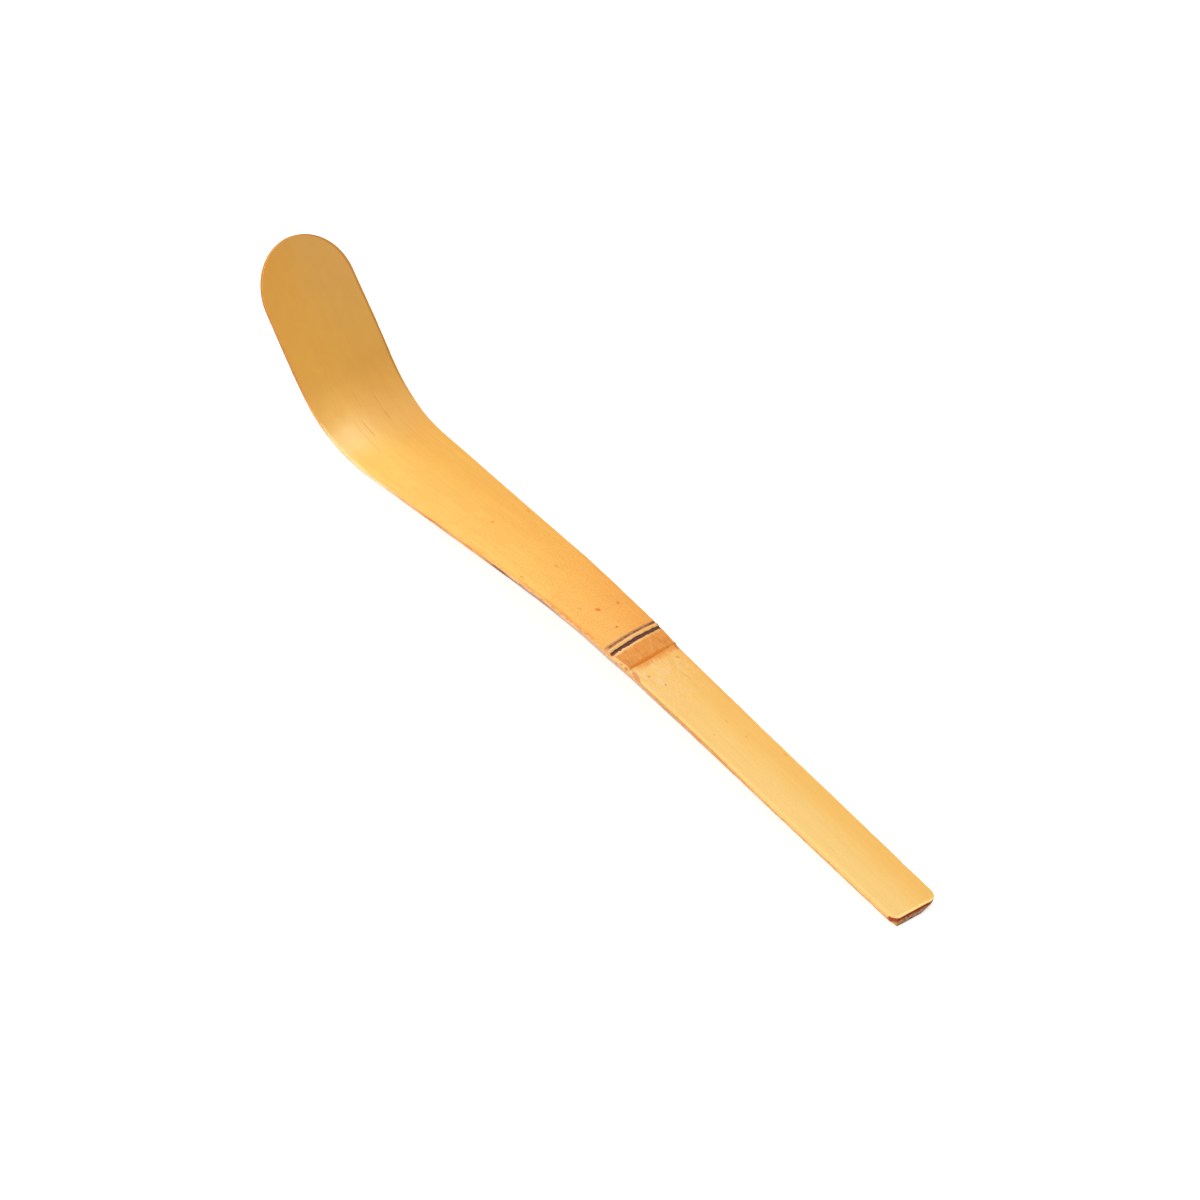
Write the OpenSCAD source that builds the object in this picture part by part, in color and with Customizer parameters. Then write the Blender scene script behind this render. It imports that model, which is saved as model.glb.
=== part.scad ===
// Bamboo tea scoop: a split of culm wall, shaved, bowed at its node and heat-bent into a bowl.
// It lies tea face up on the plane z = 0, with +X from the tip of the bowl to the cut butt end.

/* [Lengths along the strip] */
// Shaved handle, from the cut butt end to the step below the node
handle_len = 68.1; // [50:0.1:85]
// Rough band of the node, from the step to the sheath scar
band_len = 4.1; // [2.5:0.1:7]
// Dark sheath scar, measured along the strip
scar_len = 0.65; // [0.4:0.05:1.6]
// Pale ridge between the scar and the thin ring
ridge_len = 0.95; // [0.6:0.05:2]
// Thin grey ring on the tip side of the ridge
ring_len = 0.4; // [0.25:0.05:0.8]
// Stretch past the node over which the strip is bowed
bow_len = 23; // [15:0.5:35]
// Straight shaft between the bow and the bend
shaft_len = 39.5; // [24:0.5:46]
// Bowl, from the end of the bend to the tip
bowl_len = 25.2; // [21:0.1:34]

/* [Bends] */
// Downward turn of the bow, in degrees
bow_angle = 8; // [4:0.5:12]
// Upward turn of the heat-bent heel, in degrees
bend_angle = 54.5; // [35:1:70]
// Radius of the heel's bend, on the wood's upper face
bend_r = 19; // [12:0.5:26]

/* [Widths] */
// Width at the butt end
butt_w = 9.1; // [7:0.1:12]
// Width at the step below the node
node_w = 10.3; // [8:0.1:12]
// Width at the end of the bow, where the shaft begins
shaft_w = 12.5; // [10:0.1:16]
// Width where the bend begins
heel_w = 16.4; // [13:0.1:19]
// Width of the bowl
bowl_w = 18.4; // [15:0.1:22]
// Length of the bowl's rounded tip
tip_len = 10.1; // [8:0.1:14]
// Radius of the butt end's two corners
corner_r = 1.7; // [0.6:0.1:2.2]
// How far the butt end is cut out of square, in degrees
butt_skew = 3; // [0:0.5:6]
// How far the step at the node is cut out of square, in degrees
step_skew = 2; // [0:0.5:4]
// How far the carved tip leans to one side
tip_shift = 0.4; // [0:0.1:1]

/* [Thicknesses of the wood] */
// Wood of the handle, from its upper face to the planed flat underneath
butt_t = 1.8; // [1.6:0.05:2.6]
// Depth that the plane took off the handle's underside
plane_cut = 0.1; // [0.06:0.01:0.16]
// Length from the planed flat's shoulder to the step on the upper face
shoulder_gap = 4; // [2:0.5:10]
// Wood at the middle of the node
node_t = 2; // [1.7:0.05:2.8]
// Wood at the middle of the bend
heel_t = 1.5; // [1.3:0.05:2.2]
// Wood at the middle of the bowl's tip
tip_t = 0.75; // [0.55:0.05:1.1]
// Height of the side walls along the handle
handle_side = 1.05; // [0.7:0.05:1.2]
// Height of the side walls around the bowl
bowl_side = 0.45; // [0.2:0.05:0.5]

/* [Skin of the culm] */
// Skin at the node, which is the height of the step
skin_node_t = 0.5; // [0.45:0.05:0.7]
// Skin at the bowl's tip
skin_tip_t = 0.3; // [0.25:0.05:0.4]
// Radius of the culm, which crowns the tea face
culm_r = 45; // [40:1:80]
// Height of the crown that the blade left on the handle
handle_crown = 0.12; // [0.1:0.02:0.2]
// Height of the crown that is left where the bend begins
heel_crown = 0.5; // [0.2:0.05:0.7]
// Depth of the bowl below its two edges
bowl_dish = 0.25; // [0.1:0.05:0.5]
// Height of the node's ridge above the skin
ridge_h = 0.25; // [0.1:0.05:0.5]
// How far the ridge stands out of the strip's sides
ridge_out = 0.1; // [0:0.02:0.2]
// Depth of the two rings below the skin
ring_depth = 0.1; // [0.05:0.01:0.15]
// Length of the gentle swelling that leads up to the node
swell_len = 9; // [5:0.5:14]
// Height of that swelling
swell_h = 0.15; // [0:0.05:0.3]
// Bevel on every upper edge
bevel = 0.15; // [0.1:0.01:0.18]
// Height of the septum's stub under the node
stub_h = 0.5; // [0.25:0.05:0.8]

/* [Hidden] */

// Colours, as the photograph shows them
wood_colour = "#F4CB84";
skin_colour = "#F0B862";
band_colour = "#E9A258";
scar_colour = "#5C3C38";
ring_colour = "#A88460";
ridge_colour = "#F9CF82";
stub_colour = "#CFA066";

// Stations along the strip, measured from the butt end to the tip
step_s = handle_len;
flat_s = step_s - shoulder_gap;
scar_s = step_s + band_len;
ridge_s = scar_s + scar_len;
ring_s = ridge_s + ridge_len;
bow_s = ring_s + ring_len;
shaft_s = bow_s + bow_len;
bend_s = shaft_s + shaft_len;
bowl_s = bend_s + PI * bend_r * bend_angle / 180;
tip_s = bowl_s + bowl_len;
round_s = tip_s - tip_len;

// Straight and bent stretches from the butt end on, each with its length and its turn
stretches = [
    [bow_s, 0],
    [bow_len, -bow_angle],
    [shaft_len, 0],
    [bowl_s - bend_s, bend_angle],
    [bowl_len, 0]
];

// Share of the half width, from the middle, over which the underside is flat
flat_share = 0.35;
// Where the underside's thickness is set between the bend and the tip
heel_mid_s = (bend_s + bowl_s) / 2;
// Least height of the septum's stub at its rim
stub_rim = 0.1;
// Columns of points across the strip
columns = 15;
// Angles of the tip's rings, from full width to the last ring
tip_angles = [10, 20, 30, 40, 50, 58, 66, 73, 79, 84];
// Angles of the butt corners' rings
corner_angles = [0, 35, 60, 90];
// Room for rounding when stations are compared
close = 0.00001;

// Points from a up to b, without b
function spread(a, b, count) = [for (i = [0:count - 1]) a + (b - a) * i / count];

stations = concat(
    [for (a = corner_angles) corner_r * sin(a) * sin(a)],
    spread(corner_r + bevel, step_s - bevel, 14),
    [step_s - bevel],
    spread(step_s, scar_s, 4),
    spread(scar_s, ridge_s, 3),
    spread(ridge_s, ring_s, 5),
    spread(ring_s, bow_s, 2),
    spread(bow_s, shaft_s, 9),
    spread(shaft_s, bend_s, 7),
    spread(bend_s, bowl_s, 18),
    spread(bowl_s, round_s, 6),
    [round_s],
    [for (a = tip_angles) round_s + tip_len * sin(a)]
);
last_s = stations[len(stations) - 1];

// Position of s in a rising list: the number of the stretch that holds it
function slot(s, at, i = 0) = i >= len(at) - 2 || s < at[i + 1] ? i : slot(s, at, i + 1);

// Slope of a smooth curve through values at stations
function slope(at, v, i) =
    let (a = max(i - 1, 0), b = min(i + 1, len(at) - 1)) (v[b] - v[a]) / (at[b] - at[a]);

// Smooth curve through values at stations, by cubic pieces
function smooth(s, at, v) =
    let (
        i = slot(s, at),
        d = at[i + 1] - at[i],
        t = (s - at[i]) / d,
        rise = v[i + 1] - v[i],
        m0 = slope(at, v, i) * d,
        m1 = slope(at, v, i + 1) * d
    )
    v[i] + t * (m0 + t * (3 * rise - 2 * m0 - m1 + t * (m0 + m1 - 2 * rise)));

// Point and heading after d more millimetres of a bend of k degrees a millimetre
function advance(p, k, d) =
    k == 0
    ? [p[0] + d * cos(p[2]), p[1] + d * sin(p[2]), p[2]]
    : let (r = 180 / (PI * k), b = p[2] + k * d)
      [p[0] + r * (sin(b) - sin(p[2])), p[1] - r * (cos(b) - cos(p[2])), b];

// Point and heading of the wood's upper face at station s, with the handle level
function pose(s, i = 0, p = [0, 0, 0]) =
    let (l = stretches[i][0], k = stretches[i][1] / l)
    s <= l || i == len(stretches) - 1
    ? advance(p, k, s)
    : pose(s - l, i + 1, advance(p, k, l));

// Half the strip's width at station s, with the round tip and the butt's corners
function half_w(s) =
    let (
        full = smooth(
            s,
            [0, step_s, shaft_s, bend_s, bowl_s, round_s],
            [butt_w, node_w, shaft_w, heel_w, bowl_w, bowl_w] / 2
        ),
        round_tip = s > round_s ? cos(asin((s - round_s) / tip_len)) : 1,
        cut = s < corner_r ? corner_r - sqrt(pow(corner_r, 2) - pow(corner_r - s, 2)) : 0
    )
    (s > round_s ? bowl_w / 2 : full) * round_tip - cut + ridge_out * hump(s, ridge_s, ring_s);

// Curvature of an arch of a given height across a given width
function arch_k(height, width) = 8 * height / pow(width, 2);

// Fall of the crowned surface at y, which the dish of the bowl turns into a rise
function sag(s, y) =
    let (dish_k = -arch_k(bowl_dish, bowl_w))
    lookup(s, [
        [bow_s, 1 / culm_r], [bend_s, arch_k(heel_crown, heel_w)],
        [bowl_s, dish_k], [tip_s, dish_k]
    ]) * y * y / 2;

// The same for the wood, which the blade left flatter along the handle
function wood_sag(s, y) =
    s < scar_s
    ? lookup(s, [[step_s, arch_k(handle_crown, node_w)], [scar_s, 1 / culm_r]]) * y * y / 2
    : sag(s, y);

// Thickness of the wood along its middle, and the height of its side walls
function wood_t(s) = lookup(
    s, [
        [0, butt_t + plane_cut], [flat_s, butt_t + plane_cut],
        [bow_s, node_t], [heel_mid_s, heel_t], [tip_s, tip_t]
    ]
);
function side_h(s) = lookup(
    s, [[0, handle_side], [bow_s, handle_side], [bend_s, bowl_side], [tip_s, bowl_side]]
);

// Half a wave that is 0 at a and b and 1 midway
function hump(s, a, b) = s > a && s < b ? sin(180 * (s - a) / (b - a)) : 0;

// Fall from 1 at the ring to 0 at the end of the swelling, and on the band likewise
function swell(s) =
    s >= bow_s
    ? (s < bow_s + swell_len ? pow(cos(90 * (s - bow_s) / swell_len), 2) : 0)
    : (s <= scar_s ? pow(sin(90 * (s - step_s) / band_len), 2) : 1);

// Height of the skin over the wood along its middle
function skin_h(s) =
    lookup(s, [[step_s, skin_node_t], [bow_s, skin_node_t], [tip_s, skin_tip_t]])
    + swell_h * swell(s)
    + ridge_h * hump(s, ridge_s, ring_s)
    - ring_depth * (hump(s, scar_s, ridge_s) + hump(s, ring_s, bow_s));

// Column j's place across the strip: the outer two on each side hold the bevel
function across(s, j) =
    let (h = half_w(s), inner = h - bevel)
    j == 0 ? -h
    : j == columns - 1 ? h
    : inner * (2 * (j - 1) / (columns - 3) - 1);

// Bevel on the outer columns and on the first and last rings
function drop(s, j) =
    j == 0 || j == columns - 1 || s < close || s > last_s - close ? bevel : 0;

// The cuts at the butt end and at the step are out of square, which fades out around them
function skewed(s, y) =
    s - y * tan(butt_skew) * lookup(s, [[0, 1], [flat_s, 0]])
    + y * tan(step_skew) * lookup(s, [[flat_s, 0], [step_s, 1], [scar_s, 0]]);

// Sideways lean of the strip's middle line, from the bend to the tip
function lean(s) = tip_shift * pow(max(0, s - bend_s) / (tip_s - bend_s), 2);

// Point of the strip v above the wood's upper face, with the handle level
function on_strip(s, y, v) =
    let (p = pose(skewed(s, y))) [p[0] - v * sin(p[2]), y + lean(s), p[1] + v * cos(p[2])];

// Height of the underside over the wood's upper face
function under(s, y) =
    let (
        h = half_w(s),
        t = wood_t(skewed(s, y)),
        out = max(0, (abs(y) / h - flat_share) / (1 - flat_share))
    )
    (t - side_h(s) - wood_sag(s, h)) * out * out - t;

// Rings of points, one ring a station, for each of the strip's surfaces
function wood_top(list) = [
    for (s = list) [
        for (j = [0:columns - 1])
            let (y = across(s, j), cut = s < step_s - close ? drop(s, j) : 0)
            on_strip(s, y, -wood_sag(s, y) - cut)
    ]
];
function wood_under(list) = [
    for (s = list) [
        for (j = [0:columns - 1])
            let (y = across(s, j)) on_strip(s, y, under(s, y))
    ]
];
function skin_top(list) = [
    for (s = list) [
        for (j = [0:columns - 1])
            let (y = across(s, j)) on_strip(s, y, skin_h(s) - sag(s, y) - drop(s, j))
    ]
];

// Stations from a to b, both included
function between(a, b) = [for (s = stations) if (s > a - close && s < b + close) s];

// The strip rests on the butt's lower edge and on the heel, so it is tilted until both are level
foot = on_strip(0, butt_w / 4, -butt_t);
rest_tilt = -min([
    for (ring = wood_under(between(shaft_s, tip_s)))
        let (p = ring[(columns - 1) / 2]) atan2(p[2] - foot[2], p[0] - foot[0])
]);

// Point in the frame of the resting scoop, before it is centred
function tilted(p) = [
    -p[0] * cos(rest_tilt) + p[2] * sin(rest_tilt),
    p[1],
    p[0] * sin(rest_tilt) + p[2] * cos(rest_tilt)
];
ends = [
    for (ring = concat(wood_under(stations), wood_top(stations), skin_top(between(bowl_s, tip_s))))
        for (p = ring) tilted(p)
];
function middle(i) = (min([for (p = ends) p[i]]) + max([for (p = ends) p[i]])) / 2;
table = [middle(0), middle(1), tilted(foot)[2]];
function placed(p) = tilted(p) - table;

// The same move for a whole shape that is drawn with the handle level and the butt end at X = 0
module on_table() {
    translate(-table) rotate([0, rest_tilt, 0]) children();
}

// Closed solid between an upper and a lower grid of points, in triangles
module slab(upper, lower) {
    rings = len(upper);
    across_n = len(upper[0]);
    low = rings * across_n;
    function at(i, j) = i * across_n + j;
    points = [for (grid = [upper, lower]) for (ring = grid) for (p = ring) placed(p)];
    faces = concat(
        [
            for (i = [0:rings - 2], j = [0:across_n - 2])
                let (a = at(i, j), b = at(i + 1, j), c = at(i + 1, j + 1), d = at(i, j + 1))
                each [[a, b, c], [a, c, d], [low + a, low + c, low + b], [low + a, low + d, low + c]]
        ],
        [
            for (i = [0:rings - 2])
                let (a = at(i, 0), b = at(i + 1, 0), c = at(i, across_n - 1), d = at(i + 1, across_n - 1))
                each [[a, low + a, low + b], [a, low + b, b], [c, d, low + d], [c, low + d, low + c]]
        ],
        [
            for (j = [0:across_n - 2])
                let (a = at(0, j), b = at(0, j + 1), c = at(rings - 1, j), d = at(rings - 1, j + 1))
                each [[a, b, low + b], [a, low + b, low + a], [c, low + c, low + d], [c, low + d, d]]
        ]
    );
    polyhedron(points, faces);
}

// Stretch of the skin layer from station a to station b, seated on the wood
module skin_piece(a, b) {
    list = between(a, b);
    slab(skin_top(list), wood_top(list));
}

// What the plane takes off under the handle, up to the shoulder
module planed_away() {
    depth = 1;
    translate([-flat_s, -butt_w, -butt_t - depth]) cube([flat_s + depth, 2 * butt_w, depth]);
}

// Wood of the culm wall: one strip from the butt end to the tip
module wood_strip() {
    color(wood_colour) difference() {
        slab(wood_top(stations), wood_under(stations));
        on_table() planed_away();
    }
}

// Smooth skin of the tea face, from the node to the tip
module tea_face_skin() {
    color(skin_colour) skin_piece(bow_s, tip_s);
}

// Thin grey ring on the tip side of the ridge
module thin_ring() {
    color(ring_colour) skin_piece(ring_s, bow_s);
}

// Swollen pale ridge of the node
module node_ridge() {
    color(ridge_colour) skin_piece(ridge_s, ring_s);
}

// Dark corky ring where the culm's sheath grew
module sheath_scar() {
    color(scar_colour) skin_piece(scar_s, ridge_s);
}

// Rough brown band that ends in the step down to the shaved handle
module node_band() {
    color(band_colour) skin_piece(step_s, scar_s);
}

// Shaved stub of the culm's septum, across the flat of the underside below the node's rings
module septum_stub() {
    list = between(scar_s, bow_s);
    margin = 3;
    inner = [margin:columns - 1 - margin];
    wood = wood_under(list);
    function stub_t(s, j) =
        stub_rim + (stub_h - stub_rim) * hump(s, scar_s, bow_s)
        * (j == margin || j == columns - 1 - margin ? 0 : 1);
    color(stub_colour) slab(
        [for (ring = wood) [for (j = inner) ring[j]]],
        [
            for (s = list) [
                for (j = inner)
                    let (y = across(s, j)) on_strip(s, y, under(s, y) - stub_t(s, j))
            ]
        ]
    );
}

wood_strip();
tea_face_skin();
thin_ring();
node_ridge();
sheath_scar();
node_band();
septum_stub();
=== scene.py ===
# Bamboo tea scoop: a split of culm wall, shaved, bowed at its node and heat-bent into a bowl
import math

import bmesh
import bpy
import numpy as np
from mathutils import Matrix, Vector


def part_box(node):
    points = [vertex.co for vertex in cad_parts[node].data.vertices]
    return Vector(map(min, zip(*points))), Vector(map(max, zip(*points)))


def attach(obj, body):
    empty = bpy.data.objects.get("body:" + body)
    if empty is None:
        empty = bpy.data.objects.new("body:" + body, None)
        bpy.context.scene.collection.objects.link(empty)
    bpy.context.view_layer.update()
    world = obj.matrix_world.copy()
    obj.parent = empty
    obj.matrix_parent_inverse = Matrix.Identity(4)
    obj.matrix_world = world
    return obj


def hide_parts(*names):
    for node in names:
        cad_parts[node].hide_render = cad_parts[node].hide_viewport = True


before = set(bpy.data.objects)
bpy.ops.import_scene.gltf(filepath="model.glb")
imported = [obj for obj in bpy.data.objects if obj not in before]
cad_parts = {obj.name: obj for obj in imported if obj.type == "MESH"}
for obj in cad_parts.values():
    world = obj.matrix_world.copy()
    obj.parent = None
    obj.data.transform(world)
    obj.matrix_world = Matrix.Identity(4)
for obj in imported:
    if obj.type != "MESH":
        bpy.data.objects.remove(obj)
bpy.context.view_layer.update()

MM = 0.001

# Lengths along the strip, from the cut butt end to the tip
HANDLE_LEN = 68.1 * MM
BAND_LEN = 4.1 * MM
SCAR_LEN = 0.65 * MM
RIDGE_LEN = 0.95 * MM
RING_LEN = 0.4 * MM
BOW_LEN = 23 * MM
SHAFT_LEN = 39.5 * MM
BOWL_LEN = 25.2 * MM
TIP_LEN = 10.1 * MM

# Bends of the strip and the cuts across it
BOW_ANGLE = math.radians(8)
BEND_ANGLE = math.radians(54.5)
BEND_R = 19 * MM
BUTT_SKEW = math.tan(math.radians(3))
STEP_SKEW = math.tan(math.radians(2))
TIP_SHIFT = 0.4 * MM

# Widths
BUTT_W = 9.1 * MM
NODE_W = 10.3 * MM
SHAFT_W = 12.5 * MM
HEEL_W = 16.4 * MM
BOWL_W = 18.4 * MM
CORNER_R = 1.7 * MM
LEFT_CUT_LEN = 0.95 * MM
LEFT_CUT_W = 0.68 * MM
RIGHT_CORNER_R = 2 * MM
RIDGE_OUT = 0.03 * MM

# Thicknesses of the wood and of the skin on it
BUTT_T = 1.8 * MM
PLANE_CUT = 0.1 * MM
SHOULDER_GAP = 4 * MM
NODE_T = 2 * MM
HEEL_T = 1.5 * MM
TIP_T = 0.75 * MM
HANDLE_SIDE = 1.05 * MM
BOWL_SIDE = 0.45 * MM
BUTT_LEFT_SIDE = 1.75 * MM
BUTT_RIGHT_SIDE = 0.5 * MM
PARED_SIDE = 0.6 * MM
SKIN_NODE_T = 0.5 * MM
SKIN_TIP_T = 0.3 * MM
BEVEL = 0.15 * MM

# Form of the underside and of its pared left wall, and the band's chamfer at the step and at the scar
FLAT_SHARE = 0.35
BUTT_FLAT_SHARE = 0.08
SIDE_POWER = 2
BUTT_SIDE_POWER = 1.7
BUTT_FADE = 8 * MM
PARED_LEN = 28 * MM
PARED_FADE = 18 * MM
PARED_FLARE = 0.58
CHAMFER_W = (0.6 * MM, 0.12 * MM)
CHAMFER_H = (0.4 * MM, 0.12 * MM)

# Crowns, swellings and hollows of the tea face
CULM_R = 45 * MM
HANDLE_CROWN = 0.12 * MM
HEEL_CROWN = 0.5 * MM
BOWL_DISH = 0.25 * MM
RIDGE_H = 0.17 * MM
RING_DEPTH = 0.1 * MM
SWELL_LEN = 9 * MM
SWELL_H = 0.15 * MM
STUB_H = 0.5 * MM
STUB_SHARE = 0.72

# Stations along the strip
STEP_S = HANDLE_LEN
FLAT_S = STEP_S - SHOULDER_GAP
SCAR_S = STEP_S + BAND_LEN
RIDGE_S = SCAR_S + SCAR_LEN
RING_S = RIDGE_S + RIDGE_LEN
BOW_S = RING_S + RING_LEN
SHAFT_S = BOW_S + BOW_LEN
BEND_S = SHAFT_S + SHAFT_LEN
BOWL_S = BEND_S + BEND_R * BEND_ANGLE
TIP_S = BOWL_S + BOWL_LEN
ROUND_S = TIP_S - TIP_LEN

# Straight and bent stretches from the butt end on, each with its length and its turn
STRETCHES = [
    (BOW_S, 0),
    (BOW_LEN, -BOW_ANGLE),
    (SHAFT_LEN, 0),
    (BOWL_S - BEND_S, BEND_ANGLE),
    (BOWL_LEN, 0),
]


# The strip: its middle line, outline and faces, as functions of the station s and the place y across


def pose(s):
    """Places along and up, and headings, at stations s of the wood's face, with the handle level."""
    along, up, heading = (np.zeros_like(s) for _ in range(3))
    start, at = 0, (0, 0, 0)
    for length, turn in STRETCHES:
        x, z, from_angle = at
        for target in (s, np.array([start + length])):
            d = target - start
            angle = from_angle + turn / length * d
            if turn:
                r = length / turn
                gained = np.sin(angle) - math.sin(from_angle), math.cos(from_angle) - np.cos(angle)
                step = x + r * gained[0], z + r * gained[1]
            else:
                step = x + d * math.cos(from_angle), z + d * math.sin(from_angle)
            if target is s:
                here = (s >= start) | (start == 0)
                along[here], up[here], heading[here] = step[0][here], step[1][here], angle[here]
            else:
                at = step[0][0], step[1][0], angle[0]
        start += length
    return along, up, heading


def smooth_curve(s, stations, values):
    """Smooth curve through values at stations, by cubic pieces."""
    stations, values = np.array(stations), np.array(values)
    i = np.clip(np.searchsorted(stations, s, side="right") - 1, 0, len(stations) - 2)
    before = np.maximum(np.arange(len(values)) - 1, 0)
    after = np.minimum(np.arange(len(values)) + 1, len(values) - 1)
    slopes = (values[after] - values[before]) / (stations[after] - stations[before])
    d = stations[i + 1] - stations[i]
    t = (s - stations[i]) / d
    rise = values[i + 1] - values[i]
    m0, m1 = slopes[i] * d, slopes[i + 1] * d
    return values[i] + t * (m0 + t * (3 * rise - 2 * m0 - m1 + t * (m0 + m1 - 2 * rise)))


def hump(s, a, b):
    """Half a wave that is 0 at a and b and 1 midway."""
    return np.where((s > a) & (s < b), np.sin(np.pi * (s - a) / (b - a)), 0)


def half_width(s, corner_r=CORNER_R):
    """Half the strip's width, with the round tip and the butt's corners."""
    widths = np.array([BUTT_W, NODE_W, SHAFT_W, HEEL_W, BOWL_W, BOWL_W])
    full = smooth_curve(np.minimum(s, ROUND_S), [0, STEP_S, SHAFT_S, BEND_S, BOWL_S, ROUND_S], widths / 2)
    tip = np.clip((s - ROUND_S) / TIP_LEN, 0, 1)
    into_corner = np.clip(corner_r - s, 0, corner_r)
    cut = corner_r - np.sqrt(corner_r**2 - into_corner**2)
    return full * np.sqrt(1 - tip**2) - cut + RIDGE_OUT * hump(s, RIDGE_S, RING_S)


def arch(height, width):
    """Curvature of an arch of a given height across a given width."""
    return 8 * height / width**2


def sag(s, y):
    """Fall of the crowned surface at y, which the dish of the bowl turns into a rise."""
    dish = -arch(BOWL_DISH, BOWL_W)
    curvatures = [1 / CULM_R, arch(HEEL_CROWN, HEEL_W), dish, dish]
    return np.interp(s, [BOW_S, BEND_S, BOWL_S, TIP_S], curvatures) * y**2 / 2


def wood_sag(s, y):
    """The same for the wood, which the blade left flatter along the handle."""
    shaved = np.interp(s, [STEP_S, SCAR_S], [arch(HANDLE_CROWN, NODE_W), 1 / CULM_R]) * y**2 / 2
    return np.where(s < SCAR_S, shaved, sag(s, y))


def swell(s):
    """Fall from 1 at the thin ring to 0 at the end of the swelling, and on the band likewise."""
    tip_side = np.cos(np.pi / 2 * np.clip((s - BOW_S) / SWELL_LEN, 0, 1)) ** 2
    butt_side = np.sin(np.pi / 2 * np.clip((s - STEP_S) / BAND_LEN, 0, 1)) ** 2
    return np.minimum(tip_side, butt_side)


def skin_height(s):
    """Height of the skin over the wood along its middle."""
    plain = np.interp(s, [STEP_S, BOW_S, TIP_S], [SKIN_NODE_T, SKIN_NODE_T, SKIN_TIP_T])
    rings = hump(s, SCAR_S, RIDGE_S) + hump(s, RING_S, BOW_S)
    return plain + SWELL_H * swell(s) + RIDGE_H * hump(s, RIDGE_S, RING_S) - RING_DEPTH * rings


def skewed(s, y):
    """Stations with the cuts at the butt end and at the step out of square, fading out around them."""
    butt = y * BUTT_SKEW * np.interp(s, [0, FLAT_S], [1, 0])
    step = y * STEP_SKEW * np.interp(s, [FLAT_S, STEP_S, SCAR_S], [0, 1, 0])
    return s - butt + step


def side_wall(s, left):
    """Height of a side wall: low on the left behind the butt, where it was pared from below."""
    butt = [(0, BUTT_LEFT_SIDE), (MM, 1.4 * PARED_SIDE), (2.5 * MM, PARED_SIDE)]
    pared = [(PARED_LEN, PARED_SIDE), (PARED_LEN + PARED_FADE, HANDLE_SIDE)]
    rest = [(BOW_S, HANDLE_SIDE), (BEND_S, BOWL_SIDE)]
    left_wall = np.interp(s, *zip(*butt, *pared, *rest))
    right_wall = np.interp(s, *zip((0, BUTT_RIGHT_SIDE), (BUTT_FADE, HANDLE_SIDE), *rest))
    return np.where(left, left_wall, right_wall)


def spread(s, left):
    """How much farther out the edge runs where the side wall is low."""
    missing = HANDLE_SIDE - side_wall(np.minimum(s, BOW_S), left)
    return np.where(left, PARED_FLARE * np.clip(missing, 0, None), 0)


def underside(s, y):
    """Height of the underside over the wood's face: flat in the middle, rising to the side walls."""
    half = np.maximum(half_width(s), BEVEL) + spread(s, y < 0)
    thick = np.interp(
        skewed(s, y),
        [0, FLAT_S, BOW_S, (BEND_S + BOWL_S) / 2, TIP_S],
        [BUTT_T + PLANE_CUT, BUTT_T + PLANE_CUT, NODE_T, HEEL_T, TIP_T],
    )
    flat = np.where(y < 0, FLAT_SHARE, np.interp(s, [0, BUTT_FADE], [BUTT_FLAT_SHARE, FLAT_SHARE]))
    out = np.clip((np.abs(y) / half - flat) / (1 - flat), 0, 1)
    power = np.where(y < 0, SIDE_POWER, np.interp(s, [0, BUTT_FADE], [BUTT_SIDE_POWER, SIDE_POWER]))
    height = (thick - side_wall(s, y < 0) - wood_sag(s, half)) * out**power - thick
    return np.where(s < FLAT_S, np.maximum(height, -BUTT_T), height)


def level_point(s, y, height):
    """Points over the wood's face, with the handle level and the butt end at 0."""
    s, y, height = (np.array(a, float) for a in np.broadcast_arrays(s, y, height))
    along, up, heading = pose(skewed(s, y))
    lean = TIP_SHIFT * (np.maximum(0, s - BEND_S) / (TIP_S - BEND_S)) ** 2
    return np.stack([along - height * np.sin(heading), y + lean, up + height * np.cos(heading)], -1)


# The scoop rests on the butt's lower edge and on the heel, so it is tilted until both are level
foot = level_point(0, BUTT_W / 4, -BUTT_T)
keel_s = np.linspace(SHAFT_S, TIP_S, 2000)
keel = level_point(keel_s, 0, underside(keel_s, np.zeros_like(keel_s)))
REST_TILT = -np.min(np.arctan2(keel[:, 2] - foot[2], keel[:, 0] - foot[0]))


def tilted(points):
    """Points with the scoop at its resting tilt and the tip towards -X."""
    cos, sin = math.cos(REST_TILT), math.sin(REST_TILT)
    x, y, z = np.moveaxis(points, -1, 0)
    return np.stack([-x * cos + z * sin, y, x * sin + z * cos], -1)


low_corner, high_corner = (Vector(corner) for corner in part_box("wood_strip"))
butt_edge = tilted(level_point(np.zeros(2), np.array([-1, 1]) * (BUTT_W / 2 - CORNER_R), 0))
wide_s = np.linspace(BOWL_S, TIP_S, 400)
wide_y = half_width(wide_s)
wide = [tilted(level_point(wide_s, side * wide_y, 0))[:, 1] for side in (-1, 1)]
MOVE = np.array([
    high_corner.x - butt_edge[:, 0].max(),
    (low_corner.y + high_corner.y - wide[0].min() - wide[1].max()) / 2,
    -tilted(foot)[2],
])


def place(s, y, height):
    """Points of the strip in the frame."""
    return tilted(level_point(s, y, height)) + MOVE


# Small irregularities, the same in each run


def lattice_noise(u, v, seed):
    """Smooth noise from -1 to 1 with a random value at each whole number of u and of v."""
    size = 512
    values = np.random.default_rng(seed).uniform(-1, 1, (size, size))
    i, j = np.floor(u).astype(int), np.floor(v).astype(int)
    fu, fv = u - i, v - j
    fu, fv = fu * fu * (3 - 2 * fu), fv * fv * (3 - 2 * fv)
    lower = values[i % size, j % size] * (1 - fu) + values[(i + 1) % size, j % size] * fu
    upper = values[i % size, (j + 1) % size] * (1 - fu) + values[(i + 1) % size, (j + 1) % size] * fu
    return lower * (1 - fv) + upper * fv


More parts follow.
